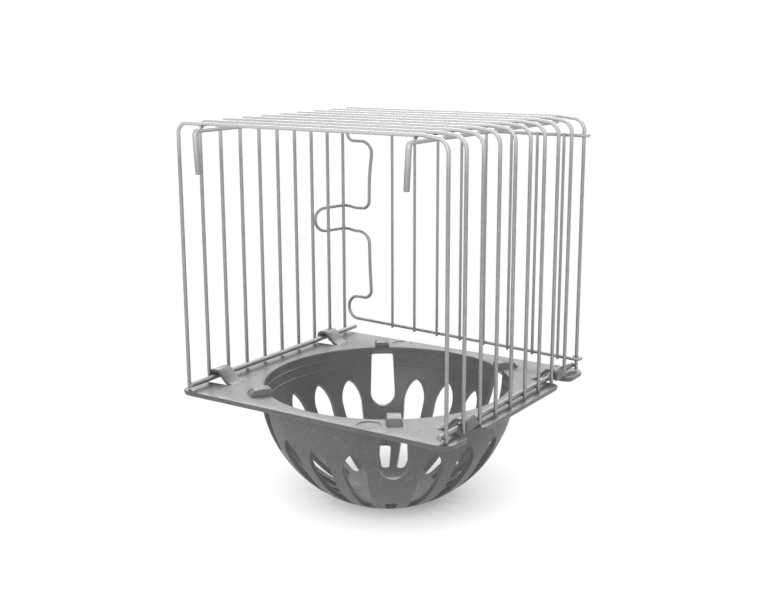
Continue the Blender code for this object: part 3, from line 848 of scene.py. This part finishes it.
def petal_outline():
    """A leaf with a pointed top and a narrow round lower end."""
    polars = (PETAL_TOP, PETAL_WIDEST, PETAL_BOTTOM)
    top, wide, bottom = (BOWL_INSIDE * sin(polar - PETAL_AXIS) for polar in polars)
    end = PETAL_END_WIDTH / 2
    half = [(0.0, top)]
    for angle in quarter(steps=32)[-2::-1]:
        half.append((PETAL_WIDTH / 2 * cos(angle) ** PETAL_POINT, wide + (top - wide) * sin(angle)))
    for angle in quarter(steps=12)[:-1]:
        half.append((end * cos(angle), bottom + end - end * sin(angle)))
    mirrored = [(-x, y) for x, y in reversed(half[1:])]
    return half + [(0.0, bottom)] + mirrored


def four_corners(upper, upper_radius, lower, lower_radius):
    """A closed outline from its right corners, mirrored on the left."""
    (upper_x, upper_y), (lower_x, lower_y) = upper, lower
    return closed_outline([
        ((upper_x, upper_y), upper_radius),
        ((-upper_x, upper_y), upper_radius),
        ((-lower_x, lower_y), lower_radius),
        ((lower_x, lower_y), lower_radius),
    ])


def window_outline():
    """A U-shaped opening that starts just under the rim."""
    upper = (WINDOW_TOP_WIDTH / 2, -WINDOW_DROP)
    lower = (WINDOW_WIDTH / 2, -WINDOW_DROP - WINDOW_DEPTH)
    return four_corners(upper, WINDOW_TOP_RADIUS, lower, lower[0] * WINDOW_END_ROUND)


def under_window(window):
    """The window on the outer face, with its top under the flange."""
    under = window.copy()
    high = under[:, 1] > -WINDOW_SHOULDER
    full = WINDOW_SHOULDER - WINDOW_DROP
    kept = WINDOW_SHOULDER - WINDOW_UNDER_TOP
    under[high, 1] = (under[high, 1] + WINDOW_SHOULDER) * kept / full - WINDOW_SHOULDER
    return under


def lower_slot_outline():
    reach = BOWL_INSIDE * sin((LOWER_SLOT_TOP - PETAL_BOTTOM) / 2)
    top = LOWER_SLOT_WIDTH / 2
    end = LOWER_SLOT_END_WIDTH / 2
    return four_corners((top, reach), top * LOWER_SLOT_TOP_ROUND, (end, -reach), end * LOWER_SLOT_END_ROUND)


def slot_axes(azimuth, polar):
    """Directions along, up and out of the wall at a place on the bowl."""
    side = np.array((cos(azimuth), sin(azimuth), 0.0))
    axis = np.array((0.0, 0.0, 1.0))
    out = sin(polar) * side - cos(polar) * axis
    up = cos(polar) * side + sin(polar) * axis
    return np.cross(up, out), up, out


def slot_list():
    """The inner outline, outer outline and axes of every slot."""
    petal = resampled(petal_outline(), LOOP_STEP)
    window = resampled(window_outline(), LOOP_STEP)
    under = under_window(window)
    lower = resampled(lower_slot_outline(), LOWER_LOOP_STEP)
    slots = []
    for k in range(SLOT_COUNT):
        azimuth = 2 * pi * k / SLOT_COUNT
        if k in WINDOW_SLOTS:
            slots.append((window, under, slot_axes(azimuth, pi / 2)))
            slots.append((lower, lower, slot_axes(azimuth, (LOWER_SLOT_TOP + PETAL_BOTTOM) / 2)))
        else:
            slots.append((petal, petal, slot_axes(azimuth, PETAL_AXIS)))
    return slots


def cast(outline, axes, radius, depth=0.0):
    """The outline carried onto a sphere along its slot's axis, then inwards."""
    along, up, out = axes
    reach = np.sqrt(radius**2 - outline[:, 0] ** 2 - outline[:, 1] ** 2) - depth
    spread = outline[:, :1] * along + outline[:, 1:] * up + reach[:, None] * out
    return spread + np.array((0.0, 0.0, BOWL_CENTRE))


def rounded_edge(outline, axes, radius, depth):
    """Rings of a slot's rounded edge, from the wall's face inwards."""
    face = cast(grown(outline, SLOT_ROUND), axes, radius)
    corner = cast(outline, axes, radius)
    wall = cast(outline, axes, radius, depth)
    rings = []
    for share in (0.25, 0.5, 0.75, 1.0):
        rest = 1 - share
        rings.append(rest**2 * face + 2 * share * rest * corner + share * share * wall)
    return rings


def edge_profile():
    """Offsets and heights down the flange's edge, with a step halfway."""
    edge = []
    for angle in quarter(steps=3):
        edge.append((-FLANGE_ROUND * (1 - sin(angle)), -FLANGE_ROUND * (1 - cos(angle))))
    low = FLANGE_UNDER_ROUND - FLANGE_THICKNESS
    edge += [(0.0, -PARTING_TOP), (-PARTING_STEP, -PARTING_LOW), (-PARTING_STEP, low)]
    for angle in quarter(steps=3)[1:]:
        back = FLANGE_UNDER_ROUND * (1 - cos(angle))
        edge.append((-PARTING_STEP - back, low - FLANGE_UNDER_ROUND * sin(angle)))
    return edge


# Shell of the pan
class Sheet:
    """One face of the pan, unrolled about its axis: floor, half sphere, round rim and flange."""

    def __init__(self, radius, floor, fillet, flange, ridges, marks):
        self.radius = radius
        self.floor = floor
        self.fillet = fillet
        self.flange = flange
        self.ridges = ridges
        self.marks = marks
        start = acos((BOWL_CENTRE - floor) / radius)
        end = acos((BOWL_CENTRE - flange + fillet) / radius)
        self.foot = radius * sin(start)
        self.wall = radius * sin(end)
        self.floor_end = radius * start
        self.wall_end = radius * end
        self.flange_start = self.wall_end + fillet * pi / 2

    def profile(self, length):
        """Distance from the axis and height at a length from the middle."""
        if length <= self.floor_end:
            return self.foot * length / self.floor_end, self.floor
        if length <= self.wall_end:
            polar = length / self.radius
            height = BOWL_CENTRE - self.radius * cos(polar)
            radius = self.radius
            for drop in self.ridges:
                radius -= max(0.0, RIDGE_DEPTH - abs(BOWL_CENTRE - drop - height))
            return radius * sin(polar), height
        if length <= self.flange_start:
            turn = (length - self.wall_end) / self.fillet
            reach = self.wall + self.fillet * (1 - cos(turn))
            return reach, self.flange - self.fillet * (1 - sin(turn))
        return self.wall + self.fillet + length - self.flange_start, self.flange

    def lift(self, point):
        length = hypot(*point)
        if length < SAME_PLACE:
            return Vector((0.0, 0.0, self.floor))
        reach, height = self.profile(length)
        return Vector((reach * point[0] / length, reach * point[1] / length, height))

    def slot_loop(self, outline, axes):
        """Unrolled outer edge of a slot's rounding on this face."""
        local = cast(grown(outline, SLOT_ROUND), axes, self.radius) - np.array((0.0, 0.0, BOWL_CENTRE))
        polar = np.arccos(np.clip(-local[:, 2] / np.linalg.norm(local, axis=1), -1, 1))
        turn = np.arctan2(local[:, 1], local[:, 0])
        length = self.radius * polar
        return np.column_stack([length * np.cos(turn), length * np.sin(turn)])

    def flat_flange(self, points):
        reach = np.hypot(*points.T)
        length = self.flange_start + reach - self.wall - self.fillet
        return points * (length / reach)[:, None]


def circle(radius, count, phase=0.0, centre=(0.0, 0.0)):
    turn = 2 * np.pi * (np.arange(count) + phase) / count
    return np.array(centre) + radius * np.column_stack([np.cos(turn), np.sin(turn)])


def bending_lengths(sheet):
    """Lengths at which the profile bends, at the ridges and round the rim."""
    lengths = []
    for drop in sheet.ridges:
        for share in RIDGE_SHARES:
            lengths.append(sheet.radius * acos((drop + share * RIDGE_DEPTH) / sheet.radius))
    fillet = sheet.flange_start - sheet.wall_end
    lengths.append(sheet.wall_end - RIM_GUARD)
    lengths += [sheet.wall_end + fillet * i / FILLET_STEPS for i in range(FILLET_STEPS + 1)]
    return lengths + [sheet.flange_start + RIM_GUARD]


def wall_rows(sheet, taken):
    """Staggered rows of points below the rim, clear of the lengths taken."""
    rows = [np.zeros((1, 2))]
    length = SHEET_STEP
    row = 0
    while length < sheet.wall_end - ROW_RIM_CLEAR:
        if np.min(np.abs(taken - length)) > ROW_RING_CLEAR:
            count = round(2 * pi * sheet.profile(length)[0] / SHEET_STEP)
            rows.append(circle(length, count, 0.5 * (row % 2)))
        length += ROW_STEP
        row += 1
    return rows


def flange_grid(sheet):
    """A grid on the flange, clear of the rim and the mould marks."""
    rulers = [np.arange(-reach, reach + GRID_STEP / 2, GRID_STEP) for reach in GRID_REACH]
    grid = np.stack(np.meshgrid(*rulers), axis=-1).reshape(-1, 2)
    grid = grid[np.hypot(*grid.T) > sheet.wall + sheet.fillet + GRID_RIM_CLEAR]
    for mark in sheet.marks:
        grid = grid[np.hypot(*(grid - mark).T) > RING_RADIUS + MARK_CLEAR]
    return sheet.flat_flange(grid)


def mark_rings(sheet):
    return [sheet.flat_flange(circle(*ring, centre=mark)) for mark in sheet.marks for ring in MARK_RINGS]


def mark_depth(sheet, point):
    for x, y in sheet.marks:
        if hypot(point.x - x, point.y - y) < RING_RADIUS and point.z > sheet.flange - TOUCHING:
            return MARK_DEPTH
    return 0.0


def sheet_points(sheet, loops):
    """Loose points of a sheet, closer where its profile bends."""
    lengths = bending_lengths(sheet)
    close = [circle(length, RIM_POINTS) for length in lengths] + [circle(sheet.floor_end, FLOOR_POINTS)]
    wide = wall_rows(sheet, np.array(lengths + [sheet.floor_end])) + [flange_grid(sheet)] + mark_rings(sheet)
    points = np.vstack(wide + close)
    clearance = np.full(len(points), LOOSE_CLEAR)
    clearance[-sum(len(ring) for ring in close):] = CLOSE_CLEAR
    edges = np.vstack(loops)
    tree = KDTree(len(edges))
    for i, (x, y) in enumerate(edges):
        tree.insert((x, y, 0.0), i)
    tree.balance()
    near = np.array([tree.find((x, y, 0.0))[2] for x, y in points])
    return points[between(points, loops) & (near > clearance)]


def lay(shape, sheet, loops, skin):
    """Lays one face of the pan. Returns the vertices of its border and of each slot."""
    places, triangles, numbers = triangulated(loops, sheet_points(sheet, loops))
    vertices = []
    for place in places:
        point = sheet.lift(place)
        point.z -= mark_depth(sheet, point)
        vertices.append(shape.verts.new(point))
    for triangle in triangles:
        shape.faces.new([vertices[i] for i in triangle]).material_index = skin
    return [[vertices[i] for i in loop] for loop in numbers]


def pan_shell(inside_material, outside_material):
    """The moulding without tabs and clips, as two faces joined at every edge."""
    top = Sheet(BOWL_INSIDE, BOWL_WALL, RIM_ROUND, FLANGE_TOP, RIDGE_DROPS, MARKS)
    low = Sheet(BOWL_RADIUS, 0.0, UNDER_ROUND, FLANGE_TOP - FLANGE_THICKNESS, (), ())
    outline = resampled(flange_outline(), OUTLINE_STEP)
    edge = edge_profile()
    slots = slot_list()
    top_loops = [top.flat_flange(grown(outline, edge[0][0]))]
    low_loops = [low.flat_flange(grown(outline, edge[-1][0]))]
    for inner, outer, axes in slots:
        top_loops.append(top.slot_loop(inner, axes))
        low_loops.append(low.slot_loop(outer, axes))
    shape = bmesh.new()
    upper = lay(shape, top, top_loops, 0)
    lower = lay(shape, low, low_loops, 1)
    rings = []
    for offset, drop in edge[1:-1]:
        rings.append(new_ring(shape, [(x, y, FLANGE_TOP + drop) for x, y in grown(outline, offset)]))
    bridge(shape, [upper[0], *rings, lower[0]])
    for (inner, outer, axes), first, last in zip(slots, upper[1:], lower[1:]):
        lining = rounded_edge(inner, axes, BOWL_INSIDE, -SLOT_ROUND)
        lining += rounded_edge(outer, axes, BOWL_RADIUS, SLOT_ROUND)[::-1]
        bridge(shape, [first, *[new_ring(shape, ring) for ring in lining], last])
    return finished("nest_pan_shell", shape, [inside_material, outside_material], sharp=radians(55))


# Tabs and clips
def block_sections(width, edge, panelled):
    """Outline offset, place across and share of the panel's depth for each ring of a block."""
    side = -width / 2
    sections = []
    for angle in quarter(steps=4):
        sections.append((-edge * (1 - sin(angle)), side + edge * (1 - cos(angle)), 0.0))
    if panelled:
        sections.insert(0, (-edge - SIDE_LIP, side, 0.0))
        sections.insert(0, (-edge - 2 * SIDE_LIP, side + TAB_RECESS, 0.0))
        sections += [(0.0, side + edge + step, share) for step, share in PANEL_STEPS]
    return sections + [(offset, -z, share) for offset, z, share in reversed(sections)]


def rounded_block(name, outline, width, edge, matrix, materials, pick=None, sunk=None, taper=None):
    """A block with rounded edges and, if asked, a sunk panel and a taper."""
    points = resampled(outline, BLOCK_STEP)
    if signed_area(points) < 0:
        points = points[::-1]
    depth = sunk(points) if sunk else np.zeros(len(points))
    inwards = grown(points, -1.0) - points
    shape = bmesh.new()
    rings = []
    for offset, z, share in block_sections(width, edge, sunk is not None):
        loop = grown(points, offset) + inwards * (depth * share)[:, None]
        rings.append(new_ring(shape, [(x, y, z * (taper(y) if taper else 1.0)) for x, y in loop]))
    bridge(shape, rings)
    cap(shape, rings[0])
    cap(shape, rings[-1])
    return finished(name, shape, materials, radians(38), matrix, pick)


def tab_outline():
    """Side view of a liner tab: X out from the bowl's axis, Y up from the flange."""
    tip = BOWL_INSIDE - TAB_OVERHANG
    root = BOWL_RADIUS + TAB_ROOT
    neck = BOWL_INSIDE + RIM_ROUND + TAB_HEIGHT - TAB_THICKNESS
    sunk = -TAB_SUNK * FLANGE_THICKNESS
    corners = [
        (root, sunk),
        (root, 0.0),
        (root - TAB_RAMP * TAB_SHOULDER[0], TAB_HEIGHT * TAB_SHOULDER[1]),
        (root - TAB_RAMP * TAB_CREST[0], TAB_HEIGHT * TAB_CREST[1]),
        (tip, TAB_HEIGHT * TAB_TIP),
        (tip, TAB_HEIGHT - TAB_THICKNESS),
        (neck, sunk),
    ]
    return closed_outline(zip(corners, TAB_RADII))


def tab_recess(points):
    along = (BOWL_RADIUS + TAB_ROOT - points[:, 0]) / TAB_RAMP
    on_ramp = (points[:, 1] > PANEL_FOOT) & (along < PANEL_LENGTH)
    return np.where(on_ramp, TAB_RECESS, 0.0)


def tab_face(face):
    """Grain on a tab's sides and in its sunk panel, smooth elsewhere."""
    middle = face.calc_center_median()
    within = abs(middle.z) < TAB_WIDTH / 2 - TAB_EDGE - GRAIN_MARGIN and middle.y > GRAIN_FOOT
    in_panel = within and face.normal.x > FACES_OUT
    return 1 if in_panel or abs(face.normal.z) > FACES_SIDEWAYS else 0


def tab_taper(y):
    return 1.0 - TAB_TAPER * max(0.0, y) / TAB_HEIGHT


def liner_tab(k, materials):
    """The tab on the rim over the window at slot k."""
    upright = Matrix(((1, 0, 0, 0), (0, 0, -1, 0), (0, 1, 0, FLANGE_TOP), (0, 0, 0, 1)))
    place = Matrix.Rotation(2 * pi * k / SLOT_COUNT, 4, "Z") @ upright
    view = tab_outline()
    shaping = (tab_face, tab_recess, tab_taper)
    return rounded_block(f"liner_tab_{k:02d}", view, TAB_WIDTH, TAB_EDGE, place, materials, *shaping)


def clip_outline():
    """Side view of a snap clip: X outwards and Y up from the rail's centre."""
    half = CLIP_THICKNESS / 2
    off = CLIP_OUTSIDE - half
    root = FLANGE_TOP - RAIL_Z - CLIP_ROOT_DROP - half
    corners = [
        (-CLIP_REACH - CLIP_HEEL, root, 0),
        (-CLIP_REACH + CLIP_FLAT, root, 0),
        (-CLIP_CREST, off, 0),
        (off, off, 0),
        (off, -CLIP_TIP_DROP + half, 0),
    ]
    path = rounded(corners, CLIP_RADII)
    over, under = [], []
    for i, point in enumerate(path):
        along = (path[min(i + 1, len(path) - 1)] - path[max(i - 1, 0)]).normalized()
        normal = Vector((-along.y, along.x, 0))
        over.append(point + normal * half)
        under.append(point - normal * half)
    turns = [pi * i / CLIP_END_STEPS for i in range(1, CLIP_END_STEPS)]
    tip = [path[-1] + half * Vector((cos(turn), -sin(turn), 0)) for turn in turns]
    heel = [path[0] + half * Vector((-sin(turn), -cos(turn), 0)) for turn in turns]
    return [(point.x, point.y) for point in over + tip + under[::-1] + heel]


def snap_clip(name, side, index, material):
    """The clip over a rail, behind the hoop with this index."""
    rows = ((side, 0, 0, side * RAIL_X), (0, 0, -side, clip_y(index)), (0, 1, 0, RAIL_Z), (0, 0, 0, 1))
    name = f"snap_clip_{name}_{index}"
    return rounded_block(name, clip_outline(), CLIP_WIDTH, CLIP_EDGE, Matrix(rows), [material])


# The dressed part
def build_pan():
    smooth = plastic_material("pan_plastic_skin", PLASTIC, rough=(0.25, 0.38), speckle=0.12)
    specked = plastic_material("pan_plastic_outside", PLASTIC, rough=(0.45, 0.6), speckle=0.6)
    grainy = plastic_material(
        "pan_plastic_grain", GRAINY_PLASTIC, rough=(0.4, 0.6), speckle=0.8,
        grain=2.5, speck_scale=3200.0, specks_at=(0.4, 0.7),
    )
    shell = pan_shell(smooth, specked)
    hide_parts("nest_pan")
    pieces = [shell] + [liner_tab(k, [smooth, grainy]) for k in WINDOW_SLOTS]
    for side, name in ((-1, "left"), (1, "right")):
        for index in CLIP_HOOPS:
            pieces.append(snap_clip(name, side, index, smooth))
    for piece in pieces:
        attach(piece, "frame")


def add_wire(name, points, diameter, material, body):
    piece = wire_piece(name + "_wire", points, diameter, material)
    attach(piece, body)
    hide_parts(name)


def build_wires():
    hoop_metal = wire_material("hoop_zinc", WIRE_ROUGH, 1)
    rail_metal = wire_material("rail_zinc", RAIL_ROUGH, 2)
    hanger_metal = wire_material("hanger_zinc", WIRE_ROUGH, 3)
    door_metal = wire_material("door_zinc", WIRE_ROUGH, 4)
    bar_metal = wire_material("door_bar_zinc", WIRE_ROUGH, 5)
    for i in range(HOOP_COUNT):
        add_wire(f"hoop_{i + 1:02d}", hoop_points(i), HOOP_WIRE, hoop_metal, "frame")
    front = -ROW_HALF - RAIL_FRONT_END
    for name, side, back_end in (("left", -1, RAIL_LEFT_BACK_END), ("right", 1, RAIL_RIGHT_BACK_END)):
        rail = [(side * RAIL_X, front, RAIL_Z), (side * RAIL_X, ROW_HALF + back_end, RAIL_Z)]
        add_wire(f"rail_{name}", rail, RAIL_WIRE, rail_metal, "frame")
        hanger = hanger_points(side)
        add_wire(f"hanger_wire_{name}", hanger, HANGER_WIRE, hanger_metal, "frame")
    add_wire("door_frame_wire", door_frame_points(), DOOR_WIRE, door_metal, "door")
    for i in range(BAR_COUNT):
        add_wire(f"door_bar_{i + 1}", bar_points(i), BAR_WIRE, bar_metal, "door")


def build_welds():
    weld = weld_material()
    piece = frame_welds(weld)
    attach(piece, "frame")
    piece = door_welds(weld)
    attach(piece, "door")


# The studio
def build_floor():
    shape = bmesh.new()
    bmesh.ops.create_circle(shape, cap_ends=True, segments=96, radius=4.0)
    floor = finished("studio_floor", shape, [floor_material()])


def build_world():
    world = bpy.data.worlds.new("studio")
    bpy.context.scene.world = world
    world.use_nodes = True
    tree = world.node_tree
    ambient = tree.nodes["Background"]
    feed(tree, ambient, {"Color": WHITE, "Strength": 0.25})
    seen = node(tree, "ShaderNodeBackground", {"Color": WHITE, "Strength": 1.0})
    shaders = (ambient.outputs["Background"], seen.outputs["Background"])
    blend_shaders(tree, seen_directly(tree), *shaders, "World Output")


def area_light(name, place, size, power):
    light = bpy.data.lights.new(name, "AREA")
    light.shape = "RECTANGLE"
    light.size, light.size_y = size
    light.energy = power
    made = new_object(name, light)
    made.location = place
    made.rotation_euler = (LIGHT_TARGET - Vector(place)).to_track_quat("-Z", "Y").to_euler()


def build_camera():
    aim = Matrix.Rotation(CAMERA_TURN, 4, "Z") @ Matrix.Rotation(pi / 2 - CAMERA_TILT, 4, "X")
    data = bpy.data.cameras.new("photo_camera")
    data.sensor_fit = "HORIZONTAL"
    data.sensor_width = 36.0
    data.lens = 53.881
    data.clip_start = 0.01
    made = new_object("photo_camera", data)
    made.matrix_world = Matrix.Translation(CAMERA_PLACE) @ aim @ Matrix.Rotation(CAMERA_ROLL, 4, "Z")
    bpy.context.scene.camera = made


build_camera()
build_world()
build_floor()
area_light("back_softbox", place=(-0.4, 0.95, 0.95), size=(1.8, 0.8), power=21.0)
area_light("front_softbox", place=(0.25, -1.05, 0.55), size=(1.0, 0.8), power=2.8)
build_wires()
build_welds()
build_pan()
bpy.context.scene.view_settings.view_transform = "Standard"
